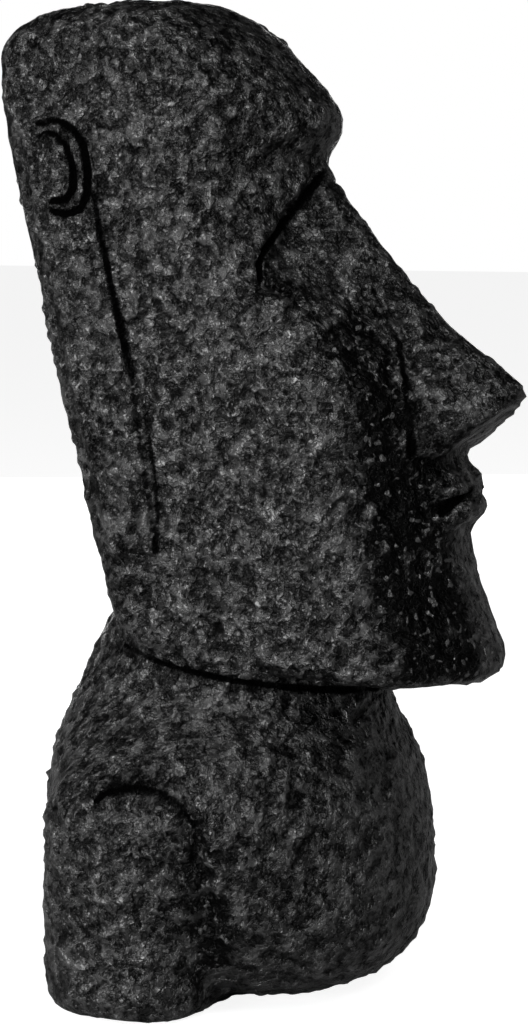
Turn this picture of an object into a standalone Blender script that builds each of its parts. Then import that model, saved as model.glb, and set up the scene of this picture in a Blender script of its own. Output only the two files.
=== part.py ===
"""Moai bust: a head, a short neck and a barrel chest with arm stubs, in one block of black stone.

Metres, +Z up, standing on z = 0 with its face towards -Y. The form is one field: a number for
every point in space that is negative inside the stone and zero on its surface. Large masses are
joined and hollows are taken out with soft minima and maxima, and a closed net of quads is then
drawn tight over the zero surface.
"""
import bpy
import numpy as np

# Overall size
HEIGHT = 0.500
FORWARD = 0.0195         # the sizes below are measured from the neck, this far behind the middle

# Head: each row is a level and a value at that level
HEAD_WIDTH = ((0.160, 0.0660), (0.300, 0.0655), (0.420, 0.0620), (0.500, 0.0590))
HEAD_BACK = ((0.150, 0.0370), (0.200, 0.0500), (0.280, 0.0705), (0.360, 0.0905), (0.438, 0.1085),
             (0.462, 0.1120), (0.478, 0.1110), (0.490, 0.1050), (0.500, 0.0950))
FACE_LINE = (
    (0.155, -0.1369), (0.175, -0.1409), (0.190, -0.1359), (0.210, -0.1280), (0.228, -0.1233),
    (0.248, -0.1213), (0.270, -0.1185), (0.290, -0.1155), (0.308, -0.1110), (0.330, -0.0945),
    (0.354, -0.0745), (0.370, -0.0560), (0.385, -0.0455), (0.400, -0.0380), (0.430, -0.0220),
    (0.460, 0.0050), (0.500, 0.0600),
)
BROW_LINE = (
    (0.350, -0.0520), (0.375, -0.0503), (0.395, -0.0502), (0.404, -0.0494), (0.412, -0.0472),
    (0.418, -0.0443), (0.422, -0.0450), (0.426, -0.0481), (0.430, -0.0511), (0.434, -0.0531),
    (0.438, -0.0534), (0.443, -0.0526), (0.447, -0.0501), (0.455, -0.0436), (0.463, -0.0355),
    (0.471, -0.0278), (0.480, -0.0190), (0.490, -0.0080), (0.500, 0.0050),
)
BROW_BEND = ((0.350, 3.5), (0.365, 3.5), (0.375, 4.5), (0.386, 6.0), (0.395, 8.0), (0.404, 9.5),
             (0.418, 10.0), (0.430, 11.5), (0.438, 13.0), (0.447, 12.0), (0.455, 11.0),
             (0.471, 9.5), (0.500, 9.0))
JAW_LINE = ((-0.140, 0.1635), (-0.100, 0.1655), (-0.060, 0.1680), (-0.010, 0.1715),
            (0.020, 0.1790), (0.045, 0.1890))
FACE_BEND = ((0.160, 9.5), (0.200, 9.3), (0.230, 7.8), (0.260, 8.2), (0.290, 7.5), (0.310, 6.6),
             (0.340, 7.0))   # how fast the face falls back from its middle, per metre
BACK_BEND = 1.5
CORNER = 0.014           # softness of the edges between face, sides and back
CROWN_SOFT = 0.020
CROWN_MIDDLE = 0.040     # where the crown is highest, and how it falls from there
CROWN_FALL = 1.15
CROWN_SIDE_FALL = 2.0
BROW_PEAK = 0.4185       # level of the brow's lower edge in the middle
BROW_FALL = 0.62         # its slope towards the temples, and how the slope steepens
BROW_DROOP = 5.0
BROW_SOFT = 0.004
JAW_SOFT = 0.010

# Nose
NOSE_RIDGE = (
    (0.270, -0.1700), (0.300, -0.1640), (0.312, -0.1520), (0.326, -0.1320), (0.340, -0.1130),
    (0.354, -0.0985), (0.370, -0.0845), (0.388, -0.0695), (0.408, -0.0545), (0.418, -0.0485),
    (0.435, -0.0450),
)
NOSE_HALF = ((0.280, 0.0060), (0.3100, 0.0045), (0.340, 0.0060), (0.400, 0.0050))
NOSE_FLANK = ((0.280, 1.90), (0.300, 1.80), (0.340, 1.45), (0.370, 1.30), (0.430, 1.20))
NOSE_REACH = 0.042       # the wedge ends inside the head this far from the middle
NOSTRIL_LEVEL = 0.2785
NOSTRIL_LINE = -0.1215
NOSE_UNDERCUT = 0.80
WING_CENTRE = (0.0195, -0.1130, 0.2885)
WING_RADIUS = 0.0115

# Mouth: an upper lip that slants forward from the nose to its edge, and a drooping lower lip
LIP_LINE = ((0.250, -0.1330), (0.262, -0.1300), (0.271, -0.1235), (0.280, -0.1165),
            (0.295, -0.1080))
LIP_HALF = ((0.250, 0.0260), (0.280, 0.0205))
LIP_BEND = 14.0
LIP_FOOT = 0.2590
LIP_DROOP = 0.14
LOWER_LIP = ((0.000, -0.1245, 0.2500), (0.011, -0.1230, 0.2478), (0.021, -0.1165, 0.2415))
LOWER_LIP_RADII = (0.0080, 0.0072, 0.0050)

# Ears: a long flat slab down the rear of each side of the head
EAR_PROUD = 0.0028
EAR_FRONT = ((0.225, 0.0125), (0.240, 0.0150), (0.317, 0.0275), (0.366, 0.0410), (0.440, 0.0640))
EAR_TOP = 0.442
EAR_FOOT = 0.2255

# Grooves cut with a round tool: the edge of the ear lobe, the crease under the brow, the pocket
# at the outer end of the eye, the corner of the mouth, and the fold round the arm stub
LOBE_GROOVE = (
    (0.0670, 0.0490, 0.4030), (0.0675, 0.0430, 0.3810), (0.0680, 0.0355, 0.3515),
    (0.0680, 0.0290, 0.3270), (0.0680, 0.0210, 0.3005), (0.0680, 0.0145, 0.2635),
    (0.0680, 0.0130, 0.2380), (0.0680, 0.0130, 0.2290),
)
LOBE_GROOVE_RADII = (0.0016, 0.0022, 0.0028, 0.0030, 0.0028, 0.0024, 0.0020, 0.0014)
BROW_GROOVE = (
    (0.0000, -0.0450, 0.4168), (0.0100, -0.0452, 0.4108), (0.0200, -0.0446, 0.4030),
    (0.0300, -0.0424, 0.3944), (0.0400, -0.0402, 0.3847), (0.0500, -0.0382, 0.3742),
    (0.0590, -0.0372, 0.3645), (0.0640, -0.0405, 0.3590),
)
BROW_GROOVE_RADII = (0.0016, 0.0020, 0.0024, 0.0028, 0.0032, 0.0038, 0.0040, 0.0024)
MOUTH_GROOVE = ((0.0000, -0.1345, 0.2578), (0.0130, -0.1310, 0.2555), (0.0200, -0.1245, 0.2495))
MOUTH_GROOVE_RADII = (0.0012, 0.0024, 0.0056)
ARM_FOLD = (
    (0.1075, 0.0305, 0.1000), (0.1070, 0.0238, 0.1138), (0.1065, 0.0150, 0.1190),
    (0.1060, 0.0060, 0.1200), (0.1050, -0.0060, 0.1160), (0.1025, -0.0190, 0.1040),
    (0.0990, -0.0250, 0.0860), (0.0980, -0.0260, 0.0650), (0.0970, -0.0235, 0.0480),
    (0.0930, -0.0270, 0.0200), (0.0900, -0.0300, 0.0000),
)
ARM_FOLD_RADII = (0.0015, 0.0040, 0.0048, 0.0046, 0.0040, 0.0036, 0.0036, 0.0036, 0.0036, 0.0036,
                  0.0030)
GROOVES = (
    (LOBE_GROOVE, LOBE_GROOVE_RADII), (BROW_GROOVE, BROW_GROOVE_RADII),
    (MOUTH_GROOVE, MOUTH_GROOVE_RADII), (ARM_FOLD, ARM_FOLD_RADII),
)
CUT_SOFT = 0.0025

# Neck
NECK_HALF = 0.0600
NECK_FRONT = -0.0765
NECK_BACK = 0.0520
NECK_TOP = 0.200
NECK_FOOT = 0.060

# Torso: level, half width, front and back
TORSO_HALF = ((0.000, 0.0740), (0.030, 0.0910), (0.085, 0.1020), (0.110, 0.1025), (0.126, 0.0960),
              (0.140, 0.0830), (0.155, 0.0670), (0.172, 0.0570), (0.200, 0.0500))
TORSO_FRONT = ((0.000, -0.0910), (0.030, -0.0970), (0.060, -0.0985), (0.085, -0.0975),
               (0.103, -0.0940), (0.122, -0.0880), (0.143, -0.0780), (0.170, -0.0670),
               (0.200, -0.0600))
TORSO_BACK = ((0.000, 0.0880), (0.060, 0.0940), (0.100, 0.0945), (0.130, 0.0905), (0.160, 0.0815),
              (0.190, 0.0660), (0.205, 0.0520))
TORSO_MIDDLE = -0.002
TORSO_TOP = 0.202
BELLY_SOFT = 0.050       # the chest rounds in to the ground like the bottom of a bowl
DRESSED = 0.0008         # the underside is dressed flat up to this height

# Arm stubs, against the sides of the torso
ARM_CENTRE = (0.0725, 0.0240)
ARM_HALF = 0.0395
ARM_DEPTH = 0.0435
ARM_TOP = 0.1240
ARM_SOFT = 0.036
ARM_FOOT_SOFT = 0.015

# Net of quads: cells across the width, the depth and the height
CELLS_X = 46
CELLS_Y = 42
CELLS_Z = 160
RELAX_ROUNDS = 40
TRIANGLES = 9600         # the net is thinned to this many, most of them left where it bends

# Points inside the stone from which the net is cast: share of the way up the net, the point's
# y and z, the upward slant of the rays there in degrees, and the fan's rise towards the back
SPINE = (
    (0.00, 0.000, 0.070, -90, 0.00), (0.10, 0.000, 0.066, -48, 0.00),
    (0.13, 0.000, 0.062, -28, 0.00), (0.245, 0.000, 0.085, 6, 0.05),
    (0.31, -0.005, 0.110, 22, 0.15), (0.38, -0.012, 0.135, 28, 0.25),
    (0.40, -0.015, 0.215, -30, 0.25), (0.46, -0.014, 0.222, -20, 0.20),
    (0.51, -0.010, 0.240, -8, 0.08), (0.62, 0.000, 0.300, 0, 0.00),
    (0.82, 0.020, 0.400, 2, 0.00), (0.90, 0.035, 0.440, 28, 0.00),
    (1.00, 0.045, 0.440, 90, 0.00),
)
FLOOR_SHARE = 0.10
CROWN_SHARE = 0.90


def soft_min(a, b, reach):
    """The lesser of a and b, rounded where they are within reach of each other."""
    share = np.clip(0.5 + 0.5 * (b - a) / reach, 0, 1)
    return b + (a - b) * share - reach * share * (1 - share)


def soft_max(a, b, reach):
    return -soft_min(-a, -b, reach)


def flow(level, rows):
    """The smooth curve through rows of (level, value)."""
    levels, values = np.array(rows, float).T
    slope = np.gradient(values, levels)
    i = np.clip(np.searchsorted(levels, level) - 1, 0, len(levels) - 2)
    step = levels[i + 1] - levels[i]
    t = np.clip((level - levels[i]) / step, 0, 1)
    rise = values[i] * (1 + 2 * t) * (1 - t) ** 2 + slope[i] * step * t * (1 - t) ** 2
    return rise + values[i + 1] * t * t * (3 - 2 * t) + slope[i + 1] * step * t * t * (t - 1)


def column(x, y, half, front, back, middle, power):
    """Signed distance to an upright oval: |x / half|^power + |(y - middle) / depth|^power = 1."""
    from_middle = y - middle
    depth = np.where(from_middle < 0, middle - front, back - middle)
    ratio = (np.abs(x / half) ** power + np.abs(from_middle / depth) ** power) ** (1 / power)
    radius = np.hypot(x, from_middle)
    return radius - radius / np.maximum(ratio, 1e-6)


def roll(points, path, radii):
    """Signed distance to a chain of round rods that taper from one point of the path to the next."""
    nearest = np.full(len(points), 1.0)
    for start, end, thick, thin in zip(path[:-1], path[1:], radii[:-1], radii[1:]):
        along = np.subtract(end, start)
        share = np.clip((points - start) @ along / (along @ along), 0, 1)
        away = np.linalg.norm(points - start - share[:, None] * along, axis=1)
        nearest = np.minimum(nearest, away - thick - (thin - thick) * share)
    return nearest


def brow_edge(x):
    """Level of the brow's lower edge at a distance x from the middle."""
    return BROW_PEAK - BROW_FALL * x - BROW_DROOP * x * x


def head(x, y, z):
    """Brow block and face block inside one pair of sides, a back, a crown and a jaw."""
    brow_bend = flow(z, BROW_BEND)
    brow = (flow(z, BROW_LINE) + brow_bend * x * x - y) / np.hypot(1.3, 2 * brow_bend * x)
    brow = soft_max(brow, (brow_edge(x) - z) * 0.70, BROW_SOFT)
    face = (flow(z, FACE_LINE) + flow(z, FACE_BEND) * x * x - y) * 0.75
    shape = soft_min(brow, face, 0.002)
    shape = soft_max(shape, x - flow(z, HEAD_WIDTH), CORNER)
    behind = y - flow(z, HEAD_BACK) + BACK_BEND * x * x
    shape = soft_max(shape, behind * 0.95, CORNER)
    crown = HEIGHT - CROWN_SIDE_FALL * x * x - CROWN_FALL * (y - CROWN_MIDDLE) ** 2
    shape = soft_max(shape, z - crown, CROWN_SOFT)
    return soft_max(shape, flow(y, JAW_LINE) - z, JAW_SOFT)


def ear(x, y, z):
    """The slab is the side of the head again, a little further out, behind the ear's front edge."""
    slab = x - flow(z, HEAD_WIDTH) - EAR_PROUD
    slab = soft_max(slab, flow(z, EAR_FRONT) - y, 0.004)
    slab = soft_max(slab, y - flow(z, HEAD_BACK) + 0.016, 0.006)
    slab = soft_max(slab, EAR_FOOT - z, 0.004)
    slab = soft_max(slab, z - EAR_TOP, 0.004)
    return soft_max(slab, 0.030 - x, 0.004)


def nose(x, y, z):
    """Wedge that spreads from the ridge, cut off below by a slanting underside, with a wing."""
    spread = flow(z, NOSE_FLANK) * soft_max(x - flow(z, NOSE_HALF), 0 * x, 0.006)
    wedge = (flow(z, NOSE_RIDGE) + spread - y) * 0.55
    under = NOSTRIL_LEVEL + NOSE_UNDERCUT * soft_max(NOSTRIL_LINE - y, 0 * y, 0.010) - z
    wedge = soft_max(wedge, under * 0.75, 0.004)
    wedge = soft_max(wedge, z - BROW_PEAK - 0.006, 0.006)
    wedge = soft_max(wedge, x - NOSE_REACH, 0.006)
    return soft_max(wedge, y, 0.006)


def mouth(points):
    """Upper lip as a slanting block with a level lower edge, and the lower lip as a curved rod."""
    x, y, z = points.T
    upper = (flow(z, LIP_LINE) + LIP_BEND * x * x - y) * 0.8
    upper = soft_max(upper, x - flow(z, LIP_HALF), 0.005)
    upper = soft_max(upper, LIP_FOOT - LIP_DROOP * x - z, 0.003)
    upper = soft_max(upper, z - LIP_LINE[-1][0], 0.005)
    upper = soft_max(upper, y + 0.06, 0.005)
    return soft_min(upper, roll(points, LOWER_LIP, LOWER_LIP_RADII), 0.001)


def torso(x, y, z):
    body = column(x, y, flow(z, TORSO_HALF), flow(z, TORSO_FRONT), flow(z, TORSO_BACK),
                  TORSO_MIDDLE, 2.15) * 0.85
    body = soft_max(body, z - TORSO_TOP, 0.016)
    return soft_max(body, -z, BELLY_SOFT)


def arm(x, y, z):
    stub = column(x - ARM_CENTRE[0], y, ARM_HALF, ARM_CENTRE[1] - ARM_DEPTH,
                  ARM_CENTRE[1] + ARM_DEPTH, ARM_CENTRE[1], 2.5)
    stub = soft_max(stub, z - ARM_TOP, ARM_SOFT)
    return soft_max(stub, -z, ARM_FOOT_SOFT)


def field(points):
    """The whole bust; both halves are one, since only |x| is read."""
    x, y, z = np.abs(points[:, 0]), points[:, 1], points[:, 2]
    half = np.stack([x, y, z], axis=1)
    shape = soft_min(head(x, y, z), ear(x, y, z), 0.002)
    shape = soft_min(shape, nose(x, y, z), 0.005)
    wing = np.linalg.norm(half - WING_CENTRE, axis=1) - WING_RADIUS
    shape = soft_min(shape, wing, 0.006)
    shape = soft_min(shape, mouth(half), 0.004)
    neck = column(x, y, NECK_HALF, NECK_FRONT, NECK_BACK, -0.014, 2.2)
    neck = soft_max(soft_max(neck, z - NECK_TOP, 0.01), NECK_FOOT - z, 0.01)
    shape = soft_min(shape, neck, 0.008)
    shape = soft_min(shape, torso(x, y, z), 0.012)
    shape = soft_min(shape, arm(x, y, z), 0.010)
    for path, radii in GROOVES:
        shape = soft_max(shape, -roll(half, path, radii), CUT_SOFT)
    return np.maximum(shape, -z)


def slope_of(points, step=4e-4):
    """Gradient of the field from four points of a small tetrahedron."""
    corners = np.array([(1, -1, -1), (-1, -1, 1), (-1, 1, -1), (1, 1, 1)], float)
    return sum(c * field(points + step * c)[:, None] for c in corners) / (4 * step)


def box_net(nx, ny, nz):
    """Corners and quads of the six sides of a box of nx, ny, nz cells, joined along its edges."""
    def sides(u, v, low, high, fixed):
        across, along = np.meshgrid(np.arange(u + 1), np.arange(v + 1), indexing="ij")
        for place, turned in ((low, False), (high, True)):
            axes = [across, along]
            axes.insert(fixed, np.full_like(across, place))
            sheet = np.stack(axes, axis=-1)
            yield sheet[::-1] if turned else sheet

    sheets = list(sides(nx, nz, 0, ny, 1))
    sheets += [sheet[::-1] for sheet in sides(ny, nz, 0, nx, 0)]
    sheets += [sheet[::-1] for sheet in sides(nx, ny, 0, nz, 2)]
    quads = []
    for sheet in sheets:
        key = (sheet[..., 0] * (ny + 1) + sheet[..., 1]) * (nz + 1) + sheet[..., 2]
        around = (key[:-1, :-1], key[1:, :-1], key[1:, 1:], key[:-1, 1:])
        quads.append(np.stack(around, axis=-1).reshape(-1, 4))
    names, quads = np.unique(np.concatenate(quads), return_inverse=True)
    corners = np.stack([names // ((nz + 1) * (ny + 1)), names // (nz + 1) % (ny + 1),
                        names % (nz + 1)], axis=1)
    return corners, quads.reshape(-1, 4)


def cast(corners, nx, ny, nz):
    """A ray from the spine through every corner of the net, followed out to the surface."""
    a = corners[:, 0] / nx * 2 - 1
    b = corners[:, 1] / ny * 2 - 1
    c = corners[:, 2] / nz
    out = np.maximum(np.abs(a), np.abs(b))
    share = FLOOR_SHARE + (CROWN_SHARE - FLOOR_SHARE) * c
    share = np.where(c == 0, FLOOR_SHARE * out, share)
    share = np.where(c == 1, 1 - (1 - CROWN_SHARE) * out, share)
    rows = np.array(SPINE)
    start_y = np.interp(share, rows[:, 0], rows[:, 1])
    start_z = np.interp(share, rows[:, 0], rows[:, 2])
    slant = np.radians(np.interp(share, rows[:, 0], rows[:, 3]))
    rise = np.interp(share, rows[:, 0], rows[:, 4])
    turn = np.arctan2(b, a)
    start = np.stack([0 * start_y, start_y, start_z], axis=1)
    level = np.stack([np.cos(turn), np.sin(turn), rise * np.sin(turn)], axis=1)
    way = level * np.cos(slant)[:, None] + np.sin(slant)[:, None] * (0, 0, 1)
    way = way / np.linalg.norm(way, axis=1)[:, None]
    reach = np.full(len(corners), 0.002)
    for _ in range(48):
        reach = np.maximum(reach - 0.75 * field(start + way * reach[:, None]), 1e-4)
    return start + way * reach[:, None]


def relax(points, quads, rounds):
    """Even out the net: pull each point towards its neighbours' mean, along the surface."""
    ends = np.concatenate([quads[:, [i, (i + 1) % 4]] for i in range(4)])
    count = np.bincount(ends[:, 0])[:, None]
    for _ in range(rounds):
        total = [np.bincount(ends[:, 0], points[ends[:, 1], k]) for k in range(3)]
        mean = np.stack(total, axis=1) / count
        slope = slope_of(points)
        square = np.maximum((slope * slope).sum(axis=1), 1e-4)[:, None]
        move = (mean - points) * 0.5
        points = points + move - (move * slope).sum(axis=1)[:, None] * slope / square
        for _ in range(2):
            points = points - 0.9 * field(points)[:, None] * slope / square
    return points


def stone(name):
    """Satin, nearly black stone."""
    material = bpy.data.materials.new(name)
    material.use_nodes = True
    shader = material.node_tree.nodes["Principled BSDF"]
    shader.inputs["Base Color"].default_value = (0.022, 0.022, 0.023, 1)
    shader.inputs["Roughness"].default_value = 0.45
    return material


for leftover in list(bpy.data.objects):
    bpy.data.objects.remove(leftover)

corners, quads = box_net(CELLS_X, CELLS_Y, CELLS_Z)
skin = relax(cast(corners, CELLS_X, CELLS_Y, CELLS_Z), quads, RELAX_ROUNDS)
skin[:, 1] += FORWARD
skin[skin[:, 2] < DRESSED, 2] = 0
mesh = bpy.data.meshes.new("moai_bust")
mesh.from_pydata(skin.tolist(), [], quads.tolist())
mesh.materials.append(stone("black stone"))
bust = bpy.data.objects.new("moai_bust", mesh)
bpy.context.scene.collection.objects.link(bust)
thin = bust.modifiers.new("thin", "DECIMATE")
thin.ratio = TRIANGLES / (2 * len(quads))
thin.use_symmetry = True
thin.symmetry_axis = "X"
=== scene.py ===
# %% [markdown]
# # A moai bust in black stone
#
# This lesson models the finish of one statue: a long head on a short neck and a barrel chest with
# two arm stubs, all in one block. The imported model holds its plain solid. Here that solid is
# loaded as a fixed frame, and a finer skin with every peck mark takes its place.

import bpy
import numpy as np
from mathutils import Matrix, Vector


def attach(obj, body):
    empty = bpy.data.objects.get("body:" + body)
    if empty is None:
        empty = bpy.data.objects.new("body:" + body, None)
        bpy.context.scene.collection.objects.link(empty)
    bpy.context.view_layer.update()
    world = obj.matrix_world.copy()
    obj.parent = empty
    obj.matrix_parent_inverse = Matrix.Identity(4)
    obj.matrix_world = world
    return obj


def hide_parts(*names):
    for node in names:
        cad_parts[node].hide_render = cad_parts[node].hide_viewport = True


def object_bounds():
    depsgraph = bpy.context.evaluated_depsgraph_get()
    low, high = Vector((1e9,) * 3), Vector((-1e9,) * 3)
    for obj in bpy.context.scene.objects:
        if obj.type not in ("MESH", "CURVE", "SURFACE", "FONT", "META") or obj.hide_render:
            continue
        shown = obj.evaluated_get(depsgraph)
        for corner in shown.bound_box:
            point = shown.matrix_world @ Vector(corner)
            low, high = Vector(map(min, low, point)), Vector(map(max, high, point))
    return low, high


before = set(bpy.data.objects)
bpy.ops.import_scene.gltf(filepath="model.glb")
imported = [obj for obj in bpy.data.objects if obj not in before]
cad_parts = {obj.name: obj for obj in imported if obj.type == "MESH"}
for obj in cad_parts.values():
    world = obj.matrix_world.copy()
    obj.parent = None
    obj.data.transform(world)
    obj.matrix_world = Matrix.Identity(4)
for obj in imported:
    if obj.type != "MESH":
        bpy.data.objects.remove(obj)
cad_box = [list(corner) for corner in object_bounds()]
HEIGHT = cad_box[1][2]
print("packed nodes:", sorted(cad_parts), "box:", cad_box)

# %% [markdown]
# ## One field for the whole form
#
# Stone has no seams. The bust could be put together from meshes with booleans, but then every
# joint would be a sharp line. So its form is a field: a number for every point in space, negative
# inside the stone, zero on the surface and growing outside. The lesser of two fields joins two
# masses and the greater one cuts. A soft lesser and greater round the joint as a carver's file
# would. A difference along one axis overstates the distance to a surface that slants, so in the
# functions below it is scaled by a number a little under one.

# %% Soft joints
FORWARD = 0.0195         # sizes are measured from the neck, this far behind the middle of the plan


def soft_min(a, b, reach):
    """The lesser of a and b, rounded where they are within reach of each other."""
    share = np.clip(0.5 + 0.5 * (b - a) / reach, 0, 1)
    return b + (a - b) * share - reach * share * (1 - share)


def soft_max(a, b, reach):
    """The greater of a and b, rounded in the same way."""
    return -soft_min(-a, -b, reach)


print("two planes that meet, rounded over 10 mm:", soft_min(0.0, 0.0, 0.010), "m")

# %% Outlines, posts and rods
def flow(level, rows):
    """The smooth curve through rows of (level, value): a cubic with the slope of its neighbours."""
    levels, values = np.array(rows, float).T
    slope = np.gradient(values, levels)
    i = np.clip(np.searchsorted(levels, level) - 1, 0, len(levels) - 2)
    step = levels[i + 1] - levels[i]
    t = np.clip((level - levels[i]) / step, 0, 1)
    rise = values[i] * (1 + 2 * t) * (1 - t) ** 2 + slope[i] * step * t * (1 - t) ** 2
    return rise + values[i + 1] * t * t * (3 - 2 * t) + slope[i + 1] * step * t * t * (t - 1)


def column(x, y, half, front, back, middle, power):
    """Signed distance to an upright oval: |x / half|^power + |(y - middle) / depth|^power = 1."""
    from_middle = y - middle
    depth = np.where(from_middle < 0, middle - front, back - middle)
    ratio = (np.abs(x / half) ** power + np.abs(from_middle / depth) ** power) ** (1 / power)
    radius = np.hypot(x, from_middle)
    return radius - radius / np.maximum(ratio, 1e-6)


def roll(points, path):
    """Signed distance to a chain of round rods that taper between rows of (x, y, z, radius)."""
    rows = np.array(path)
    least = np.full(len(points), 1.0)
    for start, end in zip(rows[:-1], rows[1:]):
        along = (end - start)[:3]
        share = np.clip((points - start[:3]) @ along / (along @ along), 0, 1)
        away = np.linalg.norm(points - start[:3] - share[:, None] * along, axis=1)
        least = np.minimum(least, away - start[3] - (end[3] - start[3]) * share)
    return least


print("a curve through 0, 1 and 4, half way:", flow(np.array([0.5, 1.5]), ((0, 0), (1, 1), (2, 4))))

# %% [markdown]
# ## The head
#
# A moai's head is a slab: two nearly flat sides, a back that leans away and a face that falls in
# two planes, the brow block above and the long face below. It could be sculpted by hand, but then
# no size could be read from it. So each outline is a short list of stations, a level and a value
# there, and the curve between them is smooth. The brow's lower edge drops towards the temples in
# a shallow bow, and the brow block ends there.

# %% Outlines of the head
# Rows of (level, half width), (level, y of the back) and (level, y of the face in the middle)
HEAD_WIDTH = ((0.160, 0.0660), (0.300, 0.0655), (0.420, 0.0620), (0.500, 0.0590))
HEAD_BACK = ((0.150, 0.0370), (0.200, 0.0500), (0.280, 0.0705), (0.360, 0.0905), (0.438, 0.1085),
             (0.462, 0.1120), (0.478, 0.1110), (0.490, 0.1050), (0.500, 0.0950))
FACE_LINE = (
    (0.155, -0.1369), (0.175, -0.1409), (0.190, -0.1359), (0.210, -0.1280), (0.228, -0.1233),
    (0.248, -0.1213), (0.270, -0.1185), (0.290, -0.1155), (0.308, -0.1110), (0.330, -0.0945),
    (0.354, -0.0745), (0.370, -0.0560), (0.385, -0.0455), (0.400, -0.0380), (0.430, -0.0220),
    (0.460, 0.0050), (0.500, 0.0600),
)
BROW_LINE = (
    (0.350, -0.0520), (0.375, -0.0503), (0.395, -0.0502), (0.404, -0.0494), (0.412, -0.0472),
    (0.418, -0.0443), (0.422, -0.0450), (0.426, -0.0481), (0.430, -0.0511), (0.434, -0.0531),
    (0.438, -0.0534), (0.443, -0.0526), (0.447, -0.0501), (0.455, -0.0436), (0.463, -0.0355),
    (0.471, -0.0278), (0.480, -0.0190), (0.490, -0.0080), (0.500, 0.0050),
)
# Rows of (level, bend): how fast the surface falls back from its middle, per metre
BROW_BEND = ((0.350, 3.5), (0.365, 3.5), (0.375, 4.5), (0.386, 6.0), (0.395, 8.0), (0.404, 9.5),
             (0.418, 10.0), (0.430, 11.5), (0.438, 13.0), (0.447, 12.0), (0.455, 11.0),
             (0.471, 9.5), (0.500, 9.0))
FACE_BEND = ((0.160, 9.5), (0.200, 9.3), (0.230, 7.8), (0.260, 8.2), (0.290, 7.5), (0.310, 6.6),
             (0.340, 7.0))
BACK_BEND = 1.5
# Rows of (y, level of the jaw's lower side)
JAW_LINE = ((-0.140, 0.1635), (-0.100, 0.1655), (-0.060, 0.1680), (-0.010, 0.1715),
            (0.020, 0.1790), (0.045, 0.1890))
CROWN_MIDDLE = 0.040     # where the crown is highest, and how it falls from there
CROWN_FALL = 1.15
CROWN_SIDE_FALL = 2.0
BROW_PEAK = 0.4185       # level of the brow's lower edge in the middle
BROW_FALL = 0.62         # its slope towards the temples, and how the slope steepens
BROW_DROOP = 5.0
print("head outlines:", len(FACE_LINE), "stations down the face,", len(BROW_LINE), "down the brow")

# %% Solid of the head
BROW_LEAN = 1.3          # length of the brow's slope vector in its middle
BROW_EDGE_SCALE = 0.70
FACE_SCALE = 0.75
BACK_SCALE = 0.95
FACE_JOINT = 0.002       # softness of each edge
CORNER = 0.014
CROWN_SOFT = 0.020
BROW_SOFT = 0.004
JAW_SOFT = 0.010


def head(x, y, z):
    """Brow block and face block inside one pair of sides, a back, a crown and a jaw."""
    brow_edge = BROW_PEAK - BROW_FALL * x - BROW_DROOP * x * x
    brow_bend = flow(z, BROW_BEND)
    brow = (flow(z, BROW_LINE) + brow_bend * x * x - y) / np.hypot(BROW_LEAN, 2 * brow_bend * x)
    brow = soft_max(brow, (brow_edge - z) * BROW_EDGE_SCALE, BROW_SOFT)
    face = (flow(z, FACE_LINE) + flow(z, FACE_BEND) * x * x - y) * FACE_SCALE
    shape = soft_min(brow, face, FACE_JOINT)
    shape = soft_max(shape, x - flow(z, HEAD_WIDTH), CORNER)
    behind = y - flow(z, HEAD_BACK) + BACK_BEND * x * x
    shape = soft_max(shape, behind * BACK_SCALE, CORNER)
    crown = HEIGHT - CROWN_SIDE_FALL * x * x - CROWN_FALL * (y - CROWN_MIDDLE) ** 2
    shape = soft_max(shape, z - crown, CROWN_SOFT)
    return soft_max(shape, flow(y, JAW_LINE) - z, JAW_SOFT)


inside = head(*np.array([[0.0], [0.0], [0.3]]))
print("field of the head on its axis, 0.3 m up:", inside.round(4))

# %% [markdown]
# ## The ears
#
# The ears are long slabs, as proud of the head as a coat of plaster. Two curved grooves, one
# inside the other, are cut into the top of the slab. The stone between them is the rim of the
# ear, and a low dome fills the inner one. The slab is worked out from the side of the head, so
# that it stays proud by the same amount all the way down.

# %% Slab and dome of the ear
EAR_PROUD = 0.0028
EAR_FRONT = ((0.225, 0.0125), (0.240, 0.0150), (0.317, 0.0275), (0.366, 0.0395), (0.400, 0.0465),
             (0.440, 0.0500))
EAR_TOP = 0.442
EAR_FOOT = 0.2255
EAR_INSIDE = 0.030       # the slab ends inside the head this far from the middle
EAR_BACK_GAP = 0.016     # and this far before the back of the head
EAR_SOFT = 0.004
EAR_BACK_SOFT = 0.006
EAR_DOME = (0.0640, 0.0715, 0.4150)
EAR_DOME_REACH = (0.0034, 0.0085, 0.0150)


def ear(x, y, z):
    """The slab is the side of the head again, a little further out, behind the ear's front edge."""
    slab = x - flow(z, HEAD_WIDTH) - EAR_PROUD
    slab = soft_max(slab, flow(z, EAR_FRONT) - y, EAR_SOFT)
    slab = soft_max(slab, y - flow(z, HEAD_BACK) + EAR_BACK_GAP, EAR_BACK_SOFT)
    for end in (EAR_FOOT - z, z - EAR_TOP, EAR_INSIDE - x):
        slab = soft_max(slab, end, EAR_SOFT)
    return slab


def ear_dome(points):
    """An ellipsoid sunk into the slab, as a signed distance scaled by its shallowest reach."""
    reach = np.linalg.norm((points - EAR_DOME) / EAR_DOME_REACH, axis=1)
    return (reach - 1) * EAR_DOME_REACH[0]


print("ear:", round((EAR_TOP - EAR_FOOT) * 1000), "mm long")

# %% [markdown]
# ## Nose and mouth
#
# The nose is a wedge: its ridge is one more outline, and the flanks fall away from it at a slope
# that changes with the level. A slanting plane cuts it off below, and a ball swells each wing.
# The upper lip is a slanting block with a level edge, and the lower lip is a drooping rod. All
# of them are fields too, so they melt into the face instead of standing on it.

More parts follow.
